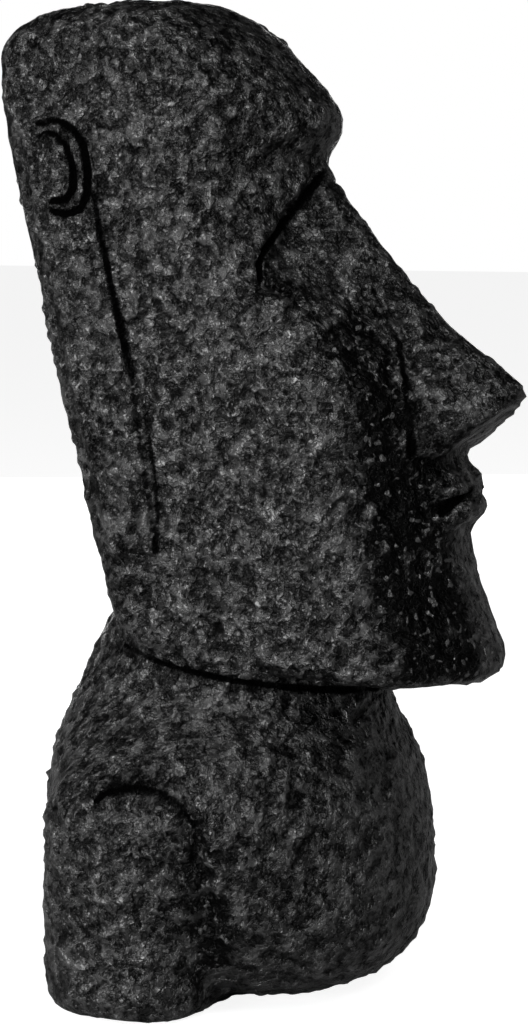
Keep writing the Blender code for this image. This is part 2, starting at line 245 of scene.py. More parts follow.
# %% Wedge of the nose
NOSE_RIDGE = (
    (0.270, -0.1700), (0.300, -0.1640), (0.312, -0.1520), (0.326, -0.1320), (0.340, -0.1130),
    (0.354, -0.0985), (0.370, -0.0845), (0.388, -0.0695), (0.408, -0.0545), (0.418, -0.0485),
    (0.435, -0.0450),
)
NOSE_HALF = ((0.280, 0.0060), (0.310, 0.0045), (0.340, 0.0060), (0.400, 0.0050))
NOSE_FLANK = ((0.280, 1.90), (0.300, 1.80), (0.340, 1.45), (0.370, 1.30), (0.430, 1.20))
NOSE_ROOT = 0.006        # the wedge ends this far over the brow's edge
NOSE_REACH = 0.042       # and inside the head this far from the middle
NOSE_SCALE = 0.55
NOSE_SOFT = 0.006
NOSTRIL_LEVEL = 0.2785
NOSTRIL_LINE = -0.1215
NOSTRIL_SCALE = 0.75
NOSTRIL_SOFT = 0.004
NOSE_UNDERCUT = 0.80     # rise of the underside per metre towards the tip
UNDERCUT_SOFT = 0.010
WING_CENTRE = (0.0195, -0.1130, 0.2885)
WING_RADIUS = 0.0115


def nose(x, y, z):
    """Wedge that spreads from the ridge, cut off below by a slanting underside."""
    spread = flow(z, NOSE_FLANK) * soft_max(x - flow(z, NOSE_HALF), 0 * x, NOSE_SOFT)
    wedge = (flow(z, NOSE_RIDGE) + spread - y) * NOSE_SCALE
    under = NOSTRIL_LEVEL + NOSE_UNDERCUT * soft_max(NOSTRIL_LINE - y, 0 * y, UNDERCUT_SOFT) - z
    wedge = soft_max(wedge, under * NOSTRIL_SCALE, NOSTRIL_SOFT)
    for end in (z - BROW_PEAK - NOSE_ROOT, x - NOSE_REACH, y):
        wedge = soft_max(wedge, end, NOSE_SOFT)
    return wedge


def wing(points):
    """Ball beside the tip of the nose."""
    return np.linalg.norm(points - WING_CENTRE, axis=1) - WING_RADIUS


print("nose ridge:", len(NOSE_RIDGE), "stations")

# %% Two lips
LIP_LINE = ((0.250, -0.1330), (0.262, -0.1300), (0.271, -0.1235), (0.280, -0.1165),
            (0.295, -0.1080))
LIP_HALF = ((0.250, 0.0260), (0.280, 0.0205))
LIP_BACK = -0.060
LIP_BEND = 14.0
LIP_FOOT = 0.2590
LIP_DROOP = 0.14         # fall of the lip's lower edge per metre towards its corner
LIP_SCALE = 0.8
LIP_SOFT = 0.005
LIP_EDGE_SOFT = 0.003
LIP_JOINT = 0.001
LOWER_LIP = ((0.0000, -0.1255, 0.2520, 0.0078), (0.0110, -0.1240, 0.2495, 0.0070),
             (0.0210, -0.1165, 0.2415, 0.0050))


def mouth(points):
    """Upper lip as a slanting block with a level lower edge, and the lower lip as a curved rod."""
    x, y, z = points.T
    upper = (flow(z, LIP_LINE) + LIP_BEND * x * x - y) * LIP_SCALE
    upper = soft_max(upper, x - flow(z, LIP_HALF), LIP_SOFT)
    upper = soft_max(upper, LIP_FOOT - LIP_DROOP * x - z, LIP_EDGE_SOFT)
    upper = soft_max(upper, z - LIP_LINE[-1][0], LIP_SOFT)
    upper = soft_max(upper, y - LIP_BACK, LIP_SOFT)
    return soft_min(upper, roll(points, LOWER_LIP), LIP_JOINT)


print("lower lip:", round(2000 * LOWER_LIP[-1][0]), "mm wide")

# %% [markdown]
# ## Neck, chest and arm stubs
#
# Below the jaw the block turns round: the neck and the chest are ovals whose widths change with
# the level, and the chest rounds in to the ground like the bottom of a bowl. A turned shape would
# be round in plan, and this one is flatter in front, so front and back have outlines of their
# own. Each arm is a stub with squarer corners against the side of the chest.

# %% Neck and chest
NECK_HALF = 0.0600
NECK_FRONT = -0.0765
NECK_MIDDLE = -0.014
NECK_BACK = 0.0520
NECK_TOP = 0.200
NECK_FOOT = 0.060
NECK_POWER = 2.2
NECK_SOFT = 0.010
TORSO_HALF = ((0.000, 0.0740), (0.030, 0.0910), (0.085, 0.1020), (0.110, 0.1025), (0.126, 0.0960),
              (0.140, 0.0830), (0.155, 0.0670), (0.172, 0.0570), (0.200, 0.0500))
TORSO_FRONT = ((0.000, -0.0910), (0.030, -0.0970), (0.060, -0.0985), (0.085, -0.0975),
               (0.103, -0.0940), (0.122, -0.0880), (0.143, -0.0780), (0.170, -0.0670),
               (0.200, -0.0600))
TORSO_BACK = ((0.000, 0.0880), (0.060, 0.0940), (0.100, 0.0945), (0.130, 0.0905), (0.160, 0.0815),
              (0.190, 0.0660), (0.205, 0.0520))
TORSO_MIDDLE = -0.002
TORSO_TOP = 0.202
TORSO_POWER = 2.15
TORSO_SCALE = 0.85
TORSO_SOFT = 0.016
BELLY_SOFT = 0.050


def neck(x, y, z):
    """Upright oval post that joins the jaw to the chest."""
    post = column(x, y, NECK_HALF, NECK_FRONT, NECK_BACK, NECK_MIDDLE, NECK_POWER)
    return soft_max(soft_max(post, z - NECK_TOP, NECK_SOFT), NECK_FOOT - z, NECK_SOFT)


def torso(x, y, z):
    """Barrel chest: an oval at every level, closed above the shoulders and rounded at the foot."""
    body = column(x, y, flow(z, TORSO_HALF), flow(z, TORSO_FRONT), flow(z, TORSO_BACK),
                  TORSO_MIDDLE, TORSO_POWER) * TORSO_SCALE
    body = soft_max(body, z - TORSO_TOP, TORSO_SOFT)
    return soft_max(body, -z, BELLY_SOFT)


print("chest:", round(2 * max(half for _, half in TORSO_HALF) * 1000), "mm wide")

# %% Arm stubs
ARM_CENTRE = (0.0725, 0.0240)
ARM_HALF = 0.0395
ARM_DEPTH = 0.0435
ARM_TOP = 0.1240
ARM_POWER = 2.5
ARM_SOFT = 0.036
ARM_FOOT_SOFT = 0.015


def arm(x, y, z):
    """Stub of an arm: a squarer oval with a round shoulder."""
    across, middle = ARM_CENTRE
    stub = column(x - across, y, ARM_HALF, middle - ARM_DEPTH, middle + ARM_DEPTH, middle,
                  ARM_POWER)
    stub = soft_max(stub, z - ARM_TOP, ARM_SOFT)
    return soft_max(stub, -z, ARM_FOOT_SOFT)


print("arm stub:", round(2000 * ARM_DEPTH), "mm deep,", round(1000 * ARM_TOP), "mm tall")

# %% [markdown]
# ## Grooves
#
# The sharp lines were cut last, with a narrow tool drawn along the stone: the two curves in the
# ear, the front edge of its lobe, the crease under the brow, the side of the nose, the corner of
# the mouth, the line under the jaw and the arch over the arm. A painted line would not show
# in the outline or from the side, so each is cut into the field: a path of points with a radius at
# every point. The pocket at the end of the brow and the fold beside the arm are wider and softer.

# %% Paths of the narrow tool
# Rows of (x, y, z, radius), for the +X side
LOBE_GROOVE = (
    (0.0655, 0.0478, 0.4030, 0.0010), (0.0662, 0.0430, 0.3810, 0.0015),
    (0.0672, 0.0355, 0.3515, 0.0019), (0.0678, 0.0290, 0.3270, 0.0021),
    (0.0680, 0.0210, 0.3005, 0.0019), (0.0680, 0.0145, 0.2635, 0.0017),
    (0.0680, 0.0130, 0.2380, 0.0014), (0.0680, 0.0130, 0.2290, 0.0010),
)
EAR_OUTER = (
    (0.0640, 0.0800, 0.4375, 0.0003), (0.0642, 0.0700, 0.4390, 0.0006),
    (0.0644, 0.0605, 0.4355, 0.0009), (0.0646, 0.0540, 0.4270, 0.0013),
    (0.0648, 0.0515, 0.4130, 0.0015), (0.0650, 0.0520, 0.4020, 0.0014),
    (0.0652, 0.0555, 0.3955, 0.0012), (0.0653, 0.0640, 0.3930, 0.0010),
    (0.0653, 0.0720, 0.3950, 0.0006),
)
EAR_INNER = (
    (0.0642, 0.0790, 0.4320, 0.0003), (0.0644, 0.0705, 0.4325, 0.0006),
    (0.0646, 0.0640, 0.4270, 0.0008), (0.0650, 0.0598, 0.4160, 0.0013),
    (0.0652, 0.0594, 0.4060, 0.0014), (0.0653, 0.0635, 0.4005, 0.0012),
    (0.0653, 0.0715, 0.3995, 0.0007),
)
BROW_GROOVE = (
    (0.0000, -0.0515, 0.4165, 0.0006), (0.0070, -0.0497, 0.4141, 0.0009),
    (0.0135, -0.0462, 0.4062, 0.0014), (0.0225, -0.0428, 0.3979, 0.0017),
    (0.0318, -0.0395, 0.3897, 0.0019), (0.0424, -0.0368, 0.3811, 0.0020),
    (0.0489, -0.0354, 0.3763, 0.0017), (0.0532, -0.0352, 0.3701, 0.0012),
    (0.0573, -0.0379, 0.3626, 0.0009), (0.0617, -0.0421, 0.3570, 0.0006),
)
NOSE_GROOVE = (
    (0.0180, -0.0800, 0.3565, 0.0000), (0.0238, -0.0962, 0.3326, 0.0003),
    (0.0325, -0.1040, 0.3130, 0.0007), (0.0360, -0.1062, 0.3000, 0.0012),
    (0.0370, -0.1088, 0.2792, 0.0015),
)
MOUTH_GROOVE = (
    (0.0060, -0.1290, 0.2608, 0.0007), (0.0150, -0.1245, 0.2553, 0.0012),
    (0.0205, -0.1190, 0.2500, 0.0026),
)
JAW_GROOVE = (
    (0.0475, 0.0412, 0.1774, 0.0003), (0.0597, 0.0155, 0.1722, 0.0005),
    (0.0638, -0.0112, 0.1682, 0.0007), (0.0607, -0.0341, 0.1653, 0.0009),
    (0.0493, -0.0559, 0.1626, 0.0011), (0.0325, -0.0700, 0.1600, 0.0012),
    (0.0000, -0.0790, 0.1570, 0.0010),
)
ARM_ARCH = (
    (0.1070, 0.0290, 0.1050, 0.0005), (0.1058, 0.0238, 0.1138, 0.0012),
    (0.1050, 0.0160, 0.1172, 0.0018), (0.1042, 0.0059, 0.1187, 0.0018),
    (0.1036, -0.0050, 0.1170, 0.0012), (0.1026, -0.0155, 0.1115, 0.0006),
    (0.1010, -0.0230, 0.1014, 0.0002),
)
GROOVES = (LOBE_GROOVE, EAR_OUTER, EAR_INNER, BROW_GROOVE, NOSE_GROOVE, MOUTH_GROOVE, JAW_GROOVE,
           ARM_ARCH)
print("grooves:", len(GROOVES), "on each side, on", sum(map(len, GROOVES)), "points")

# %% Folds, ridge and knob
BROW_POCKET = ((0.0580, -0.0420, 0.3600, 0.0034), (0.0500, -0.0530, 0.3520, 0.0020))
ARM_FOLD = (
    (0.1005, -0.0245, 0.0960, 0.0030), (0.0992, -0.0270, 0.0800, 0.0046),
    (0.0976, -0.0285, 0.0600, 0.0054), (0.0960, -0.0288, 0.0400, 0.0054),
    (0.0920, -0.0275, 0.0200, 0.0050), (0.0860, -0.0260, 0.0000, 0.0045),
)
FOLDS = (BROW_POCKET, ARM_FOLD)
NECK_RIDGE = ((0.0695, 0.0230, 0.1500, 0.0012), (0.0722, -0.0074, 0.1490, 0.0016),
              (0.0680, -0.0360, 0.1473, 0.0012))
NOSE_KNOB = ((0.0000, -0.1462, 0.3045, 0.0056), (0.0000, -0.1440, 0.3050, 0.0056))
print("widest fold:", round(2000 * max(row[3] for fold in FOLDS for row in fold), 1), "mm")

# %% The bust as one field
CUT_SOFT = 0.0012
FOLD_SOFT = 0.0030


def one_side(points):
    """The points, with those on the -X side mirrored to the +X side."""
    return points * np.where(points[:, :1] < 0, (-1, 1, 1), 1)


def nearest(points, cuts):
    """Distance to the side of the nearest of the cuts, negative inside it."""
    half = one_side(points)
    return np.min([roll(half, path) for path in cuts], axis=0)


def field(points):
    """The whole bust: masses joined one after another, then the grooves and the ground cut away."""
    half = one_side(points)
    x, y, z = half.T
    joined = (
        (ear(x, y, z), 0.002), (ear_dome(half), 0.001), (nose(x, y, z), 0.005),
        (wing(half), 0.006), (mouth(half), 0.004), (neck(x, y, z), 0.008),
        (torso(x, y, z), 0.012), (arm(x, y, z), 0.010), (roll(half, NECK_RIDGE), 0.002),
        (roll(half, NOSE_KNOB), 0.002),
    )   # each mass and the softness of its joint
    shape = head(x, y, z)
    for mass, softness in joined:
        shape = soft_min(shape, mass, softness)
    shape = soft_max(shape, -nearest(points, FOLDS), FOLD_SOFT)
    shape = soft_max(shape, -nearest(points, GROOVES), CUT_SOFT)
    return np.maximum(shape, -z)


print("field in the middle of the chest:", field(np.array([[0, 0, 0.08]])).round(4))

# %% [markdown]
# ## A net drawn over the field
#
# A field has no points of its own, so a net is laid over it. Cutting the field into small cubes
# would do that too, but it leaves slivers and steps. This net is half a box, open on the
# plane of symmetry: five grids of quads that share their edges. From a spine inside the stone a
# ray goes out through every corner of the net and stops where the field is zero. The net is then
# relaxed: each corner slides along the surface towards the mean of its neighbours, and the
# corners crowd together at the grooves.

# %% Half a box of quads
CELLS_ACROSS = 30        # from the plane of symmetry to the side
CELLS_DEEP = 106
CELLS_UP = 258


def grid(u, v, fixed, place, turned):
    """Lattice places of one side of the box, with the fixed axis at one place all over."""
    axes = list(np.meshgrid(np.arange(u + 1), np.arange(v + 1), indexing="ij"))
    axes.insert(fixed, np.full_like(axes[0], place))
    sheet = np.stack(axes, axis=-1)
    return sheet[::-1] if turned else sheet


def half_net(nx, ny, nz):
    """Lattice corners and quads of front, back, side, floor and crown, each facing outwards."""
    sheets = (grid(nx, nz, 1, 0, False), grid(nx, nz, 1, ny, True), grid(ny, nz, 0, nx, False),
              grid(nx, ny, 2, 0, True), grid(nx, ny, 2, nz, False))
    quads = []
    for sheet in sheets:
        key = (sheet[..., 0] * (ny + 1) + sheet[..., 1]) * (nz + 1) + sheet[..., 2]
        around = (key[:-1, :-1], key[1:, :-1], key[1:, 1:], key[:-1, 1:])
        quads.append(np.stack(around, axis=-1).reshape(-1, 4))
    keys, quads = np.unique(np.concatenate(quads), return_inverse=True)
    corners = np.stack([keys // ((nz + 1) * (ny + 1)), keys // (nz + 1) % (ny + 1),
                        keys % (nz + 1)], axis=1)
    return corners / (nx, ny, nz), quads.reshape(-1, 4)


corners, quads = half_net(CELLS_ACROSS, CELLS_DEEP, CELLS_UP)
print("half net:", len(corners), "corners,", len(quads), "quads")

# %% Rays from the spine
# Share of the way up the net, y and z of the start, upward slant in degrees, rise to the back
SPINE = (
    (0.00, 0.000, 0.070, -90, 0.00), (0.10, 0.000, 0.066, -48, 0.00),
    (0.13, 0.000, 0.062, -28, 0.00), (0.245, 0.000, 0.085, 6, 0.05),
    (0.31, -0.005, 0.110, 22, 0.15), (0.38, -0.012, 0.135, 28, 0.25),
    (0.40, -0.015, 0.215, -30, 0.25), (0.46, -0.014, 0.222, -20, 0.20),
    (0.51, -0.010, 0.240, -8, 0.08), (0.62, 0.000, 0.300, 0, 0.00),
    (0.82, 0.020, 0.400, 2, 0.00), (0.90, 0.035, 0.440, 28, 0.00),
    (1.00, 0.045, 0.440, 90, 0.00),
)
FLOOR_SHARE = 0.10
CROWN_SHARE = 0.90
RAY_STEPS = 48
RAY_STRIDE = 0.75        # share of the field's value that a step covers
RAY_START = 0.002
RAY_LEAST = 1e-4


def cast(corners):
    """A ray from the spine through every corner, stepping by the field's own value to the surface."""
    across, deep, up = corners[:, 0], corners[:, 1] * 2 - 1, corners[:, 2]
    out = np.maximum(across, np.abs(deep))
    share = FLOOR_SHARE + (CROWN_SHARE - FLOOR_SHARE) * up
    share = np.where(up == 0, FLOOR_SHARE * out, share)
    share = np.where(up == 1, 1 - (1 - CROWN_SHARE) * out, share)
    rows = np.array(SPINE)
    start_y, start_z, slant, rise = (np.interp(share, rows[:, 0], rows[:, i]) for i in (1, 2, 3, 4))
    slant = np.radians(slant)
    turn = np.arctan2(deep, across)
    start = np.stack([0 * start_y, start_y, start_z], axis=1)
    level = np.stack([np.cos(turn), np.sin(turn), rise * np.sin(turn)], axis=1)
    way = level * np.cos(slant)[:, None] + np.sin(slant)[:, None] * (0, 0, 1)
    way = way / np.linalg.norm(way, axis=1)[:, None]
    reach = np.full(len(corners), RAY_START)
    for _ in range(RAY_STEPS):
        step = RAY_STRIDE * field(start + way * reach[:, None])
        reach = np.maximum(reach - step, RAY_LEAST)
    return start + way * reach[:, None]


skin = cast(corners)
print("cast: worst distance from the surface", np.abs(field(skin)).max().round(5), "m")

# %% Relax the net along the surface
RELAX_ROUNDS = 30
PULL = 0.5               # share of the way to the neighbours' mean that a round covers
HOMING = 0.9             # share of the way back to the surface
CROWDING = 5.0           # how much stiffer, and so shorter, the net's edges are at a groove
CROWD_REACH = 0.005
LEAST_SQUARE = 1e-4      # keeps a vanishing slope from dividing by zero


def slope_of(points, step=4e-4):
    """Gradient of the field, from its values at the four points of a small tetrahedron."""
    ends = np.array([(1, -1, -1), (-1, -1, 1), (-1, 1, -1), (1, 1, 1)], float)
    return sum(end * field(points + step * end)[:, None] for end in ends) / (4 * step)


def relax(points, quads, middle):
    """Each round: half way to the neighbours' mean, less the part along the slope, then home."""
    ends = np.concatenate([quads[:, [i, (i + 1) % 4]] for i in range(4)])
    a, b = np.concatenate([ends, ends[:, ::-1]]).T
    for _ in range(RELAX_ROUNDS):
        stiff = 1 + CROWDING * np.exp(-(nearest(points, GROOVES) / CROWD_REACH) ** 2)
        pull = stiff[a] + stiff[b]
        total = [np.bincount(a, pull * points[b, k]) for k in range(3)]
        move = (np.stack(total, axis=1) / np.bincount(a, pull)[:, None] - points) * PULL
        slope = slope_of(points)
        square = np.maximum((slope * slope).sum(axis=1), LEAST_SQUARE)[:, None]
        points = points + move - (move * slope).sum(axis=1)[:, None] * slope / square
        for _ in range(2):
            points = points - HOMING * field(points)[:, None] * slope / square
        points[middle, 0] = 0
    return points


skin = relax(skin, quads, corners[:, 0] == 0)
print("relaxed: worst distance from the surface", np.abs(field(skin)).max().round(5), "m")

# %% Mirror the half
outward = slope_of(skin)
outward = outward / np.linalg.norm(outward, axis=1)[:, None]
outward[corners[:, 0] == 0, 0] = 0
others = np.flatnonzero(corners[:, 0] > 0)
twin = np.arange(len(skin))
twin[others] = len(skin) + np.arange(len(others))
quads = np.concatenate([quads, twin[quads][:, ::-1]])
skin = np.concatenate([skin, skin[others] * (-1, 1, 1)])
outward = np.concatenate([outward, outward[others] * (-1, 1, 1)])
print("whole net:", len(skin), "corners,", 2 * len(quads), "triangles")

# %% [markdown]
# ## Pecked relief
#
# A stone tool bruises the surface into small lumps with creases between them. Shading alone could
# suggest them, but then the outline would stay smooth, so the relief is moved into the mesh
# itself. Lumps like that are the cells round scattered points: the distance to the nearest point
# is small on top of a lump, and it equals the distance to the second nearest on a crease. The
# difference of the two, which is zero on every crease, is the height of the lump. A slow noise
# bends the cells, so that no two are alike.

# %% Scattered numbers and slow noise
AXIS_MIX = (73856093, 19349663, 83492791)
SEED_MIX = 7919
FIRST_MIX = 2654435761
NEXT_MIX = 1274126177
LOW_BITS = 0xFFFFFFFF
SHIFTS = (14, 18, 22)
SHARE_BITS = 0xFFFF


def scatter(cells, seed):
    """Three repeatable numbers from 0 to 1 for every lattice cell, mixed from its whole numbers."""
    parted = cells.astype(np.int64) * AXIS_MIX
    mixed = parted[..., 0] ^ parted[..., 1] ^ parted[..., 2]
    mixed = (mixed + seed * SEED_MIX) * FIRST_MIX & LOW_BITS
    parts = []
    for shift in SHIFTS:
        mixed = (mixed ^ mixed >> shift) * NEXT_MIX & LOW_BITS
        parts.append((mixed >> 8 & SHARE_BITS) / SHARE_BITS)
    return np.stack(parts, axis=-1)


def swell(points, size, seed):
    """Slow noise from -1 to 1: lattice values a size apart, blended smoothly, three at a time."""
    place = points / size
    cell = np.floor(place)
    t = place - cell
    t = t * t * (3 - 2 * t)
    total = 0
    for corner in np.ndindex(2, 2, 2):
        weight = np.prod(np.where(corner, t, 1 - t), axis=1)[:, None]
        total = total + weight * scatter(cell + corner, seed)
    return total * 2 - 1


print("three numbers of the first cell:", scatter(np.zeros((1, 3)), 1).round(3))

# %% Lumps and grains
HEAP_SPREAD = 0.6        # square of a heap's radius, in cells
HEAP_SPAN = 1.25
HEAP_SINK = 0.25


def lumps(points, size, crease, seed):
    """Height from 0 on a crease to 1 on a lump, round one scattered point per cell."""
    place = points / size
    cell = np.floor(place)
    first = np.full(len(points), 9.0)
    second = np.full(len(points), 9.0)
    for step in np.ndindex(3, 3, 3):
        near = cell + step - 1
        away = np.linalg.norm(place - near - scatter(near, seed), axis=1)
        second = np.minimum(second, np.maximum(first, away))
        first = np.minimum(first, away)
    body = np.clip((second - first) / crease, 0, 1)
    return body * (2 - body)


def grains(points, size, seed):
    """Sum of round heaps, one per cell at its scattered point, most of them low and a few high.

    A heap's height falls from its middle as the square of one less the distance squared.
    """
    place = points / size
    cell = np.floor(place)
    total = np.zeros(len(points))
    for step in np.ndindex(3, 3, 3):
        near = cell + step - 1
        away = place - near - scatter(near, seed)
        heap = np.clip(1 - (away * away).sum(axis=1) / HEAP_SPREAD, 0, 1) ** 2
        total = total + heap * (HEAP_SPAN * scatter(near, seed + 50)[:, 0] ** 2 - HEAP_SINK)
    return total


sample = grains(skin, 0.0070, 4)
print("grains from", sample.min().round(2), "to", sample.max().round(2))

# %% Height of the relief
BENDS = ((0.018, 0.0030, 1), (0.007, 0.0018, 2))          # size, reach, seed
HEAPS = ((0.0070, 1.3, 1.0, 4), (0.0125, 1.2, 0.5, 3))    # size, flattening, share, seed
HEAP_HEIGHT = 0.0017
HEAP_MEAN = 0.25
SWELL_SIZE = 0.030
SWELL_HEIGHT = 0.0008
CRACK_SIZE = 0.0105
CRACK_WIDTH = 0.22       # in cells
CRACK_DEPTH = 0.0006
CRACK_AMOUNT = 0.2
FINE_SIZE = 0.0042
FINE_HEIGHT = 0.0003


def relief(points):
    """Height in metres of the slow swell, and of the heaps and cracks on it."""
    bent = points
    for size, reach, seed in BENDS:
        bent = bent + reach * swell(points, size, seed)
    heaps = sum(share * grains(bent * (1, 1, flat), size, seed) for size, flat, share, seed in HEAPS)
    slow = swell(points, SWELL_SIZE, 5)
    cracks = 1 - lumps(bent, CRACK_SIZE, CRACK_WIDTH, 7)
    cracks = cracks * np.clip(CRACK_AMOUNT + slow[:, 1], 0, 1)
    rugged = HEAP_HEIGHT * (heaps - HEAP_MEAN) + FINE_HEIGHT * swell(points, FINE_SIZE, 6)[:, 0]
    return SWELL_HEIGHT * slow[:, 0], rugged - CRACK_DEPTH * cracks


slow, rugged = relief(skin)
height = slow + rugged
print("relief from", (height.min() * 1000).round(2), "to", (height.max() * 1000).round(2), "mm")

# %% [markdown]
# ## Painted shade
#
# The stone is painted darker where shade falls: the front planes of the face beside the nose and
# under the lips, which face away from the lights, the folds, and the lines under the jaw and over
# the arm. It could be painted on an image, but the mesh is so fine that every point can keep the
# amount itself, worked out from where it is and which way it faces.

# %% Where the shade is painted
SHADE_TURN = (0.46, 0.32)         # facing forward: where the painted shade starts, and how soon it is full
SHADE_TOP = (0.352, -0.012)       # level: it fades upwards, so it grows by a negative step
SHADE_FOOT = (0.160, 0.008)
FOREHEAD = (0.405, 0.010)
FOREHEAD_SHARE = 0.06
NOSE_SIDE = (0.020, 0.008)       # from the middle: no skin on the nose
NOSE_UNDERSIDE = (0.275, -0.010)
LIPS_MIDDLE = (0.0, -0.122, 0.258)
LIPS_REACH = (0.020, 0.010)
# Painted shade also lies in the folds and along the lines under the jaw and over the arm.
FOLD_REACH = 0.0060
FOLD_SHARE = 0.7
CREASES = (JAW_GROOVE, ARM_ARCH)
CREASE_REACH = 0.0045
CREASE_SHARE = 0.4


def rise(value, start, step):
    """0 before the start, 1 from a step past it, and a straight line between."""
    return np.clip((value - start) / step, 0, 1)


def close_to(points, cuts, reach):
    """1 inside the nearest cut, and falling outside as e to the minus square of distance / reach."""
    return np.exp(-np.clip(nearest(points, cuts) / reach, 0, None) ** 2)


def painted_shade(points, outward):
    """Painted shade from 0 to 1: front planes without nose and lips, or a fold, or a crease."""
    side, level = abs(points[:, 0]), points[:, 2]
    span = rise(level, *SHADE_TOP) * rise(level, *SHADE_FOOT)
    span = span + FOREHEAD_SHARE * rise(level, *FOREHEAD)
    from_nose = (side - NOSE_SIDE[0]) / NOSE_SIDE[1] + rise(level, *NOSE_UNDERSIDE)
    off_lips = rise(np.linalg.norm(points - LIPS_MIDDLE, axis=1), *LIPS_REACH)
    # Planes facing forward, away from the lights, get painted shade; so do the folds and creases.
    planes = rise(-outward[:, 1], *SHADE_TURN) * span * np.clip(from_nose, 0, 1) * off_lips
    folds = FOLD_SHARE * close_to(points, FOLDS, FOLD_REACH)
    creases = CREASE_SHARE * close_to(points, CREASES, CREASE_REACH)
    return np.maximum(planes, np.maximum(folds, creases))


# dark: the amount of painted shade at every point.
dark = painted_shade(skin, outward)
print("dark skin on", (100 * (dark > 0.5).mean()).round(1), "% of the points")

# %% Move the net out by the relief
CALM_REACH = 0.0030      # the relief fades towards a groove over this distance
CALM_LEAST = 0.15
GROUND_FADE = 0.004      # and towards the ground over this height
GROUND_FLAT = 0.0004
beside = nearest(skin, GROOVES)
smooth = np.clip(beside / CALM_REACH, CALM_LEAST, 1)
fade = np.clip(skin[:, 2] / GROUND_FADE, 0, 1)
skin = skin + outward * (height * fade * smooth)[:, None]
skin[:, 1] += FORWARD
skin[:, 2] = np.where(skin[:, 2] < GROUND_FLAT, 0, skin[:, 2])
print("highest point:", skin[:, 2].max().round(4), "m")

# %% Mesh of the bust
RAISED_FULL = 0.0007     # metres of relief that count as 1
SUNK_REACH = 0.0009


def mesh_object(name, points, faces):
    """A smooth-shaded mesh object at the origin, with its place in its points."""
    mesh = bpy.data.meshes.new(name)
    mesh.vertices.add(len(points))
    mesh.vertices.foreach_set("co", points.astype(np.float32).ravel())
    mesh.loops.add(faces.size)
    mesh.loops.foreach_set("vertex_index", faces.astype(np.int32).ravel())
    mesh.polygons.add(len(faces))
    mesh.polygons.foreach_set("loop_start", np.arange(0, faces.size, 4, dtype=np.int32))
    mesh.update(calc_edges=True)
    mesh.shade_smooth()
    made = bpy.data.objects.new(name, mesh)
    bpy.context.scene.collection.objects.link(made)
    return made


bust = mesh_object("stone_bust", skin, quads)
# dark holds the painted shade; sunk marks the grooves, which get painted shade too.
kept = {"raised": rugged / RAISED_FULL, "dark": dark, "sunk": np.clip(1 - beside / SUNK_REACH, 0, 1)}
for name, values in kept.items():
    layer = bust.data.attributes.new(name, "FLOAT", "POINT")
    layer.data.foreach_set("value", values.astype(np.float32))
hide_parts("moai_bust")
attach(bust, "root")
print("stone_bust:", len(bust.data.polygons), "quads, with", ", ".join(kept), "at every point")

# %% [markdown]
# ## The stone
#
# Dense volcanic stone that has been handled and oiled is nearly black and satin. Its colour says
# little. The look is in the way small bumps catch the light. One smooth noise would make them
# look like wax, and stone breaks in chips. So each of three noises is turned into steps: high on
# one side of a line, low on the other, grey with wear on top, with painted shadow along the foot.
# What the mesh keeps at its points adds the rest: paler heaps and darker hollows, painted shade
# in the grooves, on the front planes and in the folds and creases, and specks of painted glint
# in that shade.

# %% Helpers for a node tree
def new_material(name):
    """A new material, its node tree and its Principled shader."""
    material = bpy.data.materials.new(name)
    material.use_nodes = True
    tree = material.node_tree
    return material, tree, tree.nodes["Principled BSDF"]


def math_node(tree, operation, *values):
    """A Math node: each input is a number or another node's output."""
    node = tree.nodes.new("ShaderNodeMath")
    node.operation = operation
    for socket, value in zip(node.inputs, values):
        if isinstance(value, (int, float)):
            socket.default_value = value
        else:
            tree.links.new(value, socket)
    return node.outputs["Value"]


def plus(tree, total, value, factor):
    """The total plus the value times the factor."""
    return math_node(tree, "MULTIPLY_ADD", value, factor, total)


def point_value(tree, name):
    """What the mesh keeps under that name at its points."""
    node = tree.nodes.new("ShaderNodeAttribute")
    node.attribute_name = name
    return node.outputs["Fac"]


def noise_value(tree, place, size, detail, roughness):
    """A noise whose largest swells are a size apart, with smaller ones added on top."""
    node = tree.nodes.new("ShaderNodeTexNoise")
    node.inputs["Scale"].default_value = 1 / size
    node.inputs["Detail"].default_value = detail
    node.inputs["Roughness"].default_value = roughness
    tree.links.new(place, node.inputs["Vector"])
    return node.outputs["Fac"]


def step_up(tree, value, low, high):
    """0 where the value is under low, 1 over high, and a smooth step between."""
    node = tree.nodes.new("ShaderNodeMapRange")
    node.interpolation_type = "SMOOTHSTEP"
    node.inputs["From Min"].default_value = low
    node.inputs["From Max"].default_value = high
    tree.links.new(value, node.inputs["Value"])
    return node.outputs["Result"]


print("helpers: a material, a sum, a kept value, a noise and a step")

# %% Chips of three sizes
# Size, start and end of the step in the noise, height of the step and its share of the grey
CHIPS = ((0.0140, 0.45, 0.53, 0.0009, 0.2), (0.0065, 0.45, 0.54, 0.0011, 0.8),
         (0.0027, 0.44, 0.56, 0.0005, 0.5))
FOOT_WIDTH = 0.022       # how far in the noise the painted shadow reaches from the foot of a chip
FOOT_SHADOW = 0.9          # share of the chip's grey that the painted shadow takes away


def chips(tree, place, height, wear_and_shade):
    """Add to height and grey a step at each chip, with painted shadow on both sides of its foot."""
    for size, low, high, depth, share in CHIPS:
        level = noise_value(tree, place, size, 3, 0.55)
        chip = step_up(tree, level, low, high)
        off = math_node(tree, "ABSOLUTE", math_node(tree, "SUBTRACT", level, low))
        foot = step_up(tree, off, FOOT_WIDTH, 0.0)
        height = plus(tree, height, chip, depth)
        wear_and_shade = plus(tree, wear_and_shade, chip, share)
        # Painted shadow along the foot of the step.
        wear_and_shade = plus(tree, wear_and_shade, foot, -FOOT_SHADOW * share)
    return height, wear_and_shade


print("chips:", ", ".join(f"{1000 * row[0]:.1f} mm" for row in CHIPS))
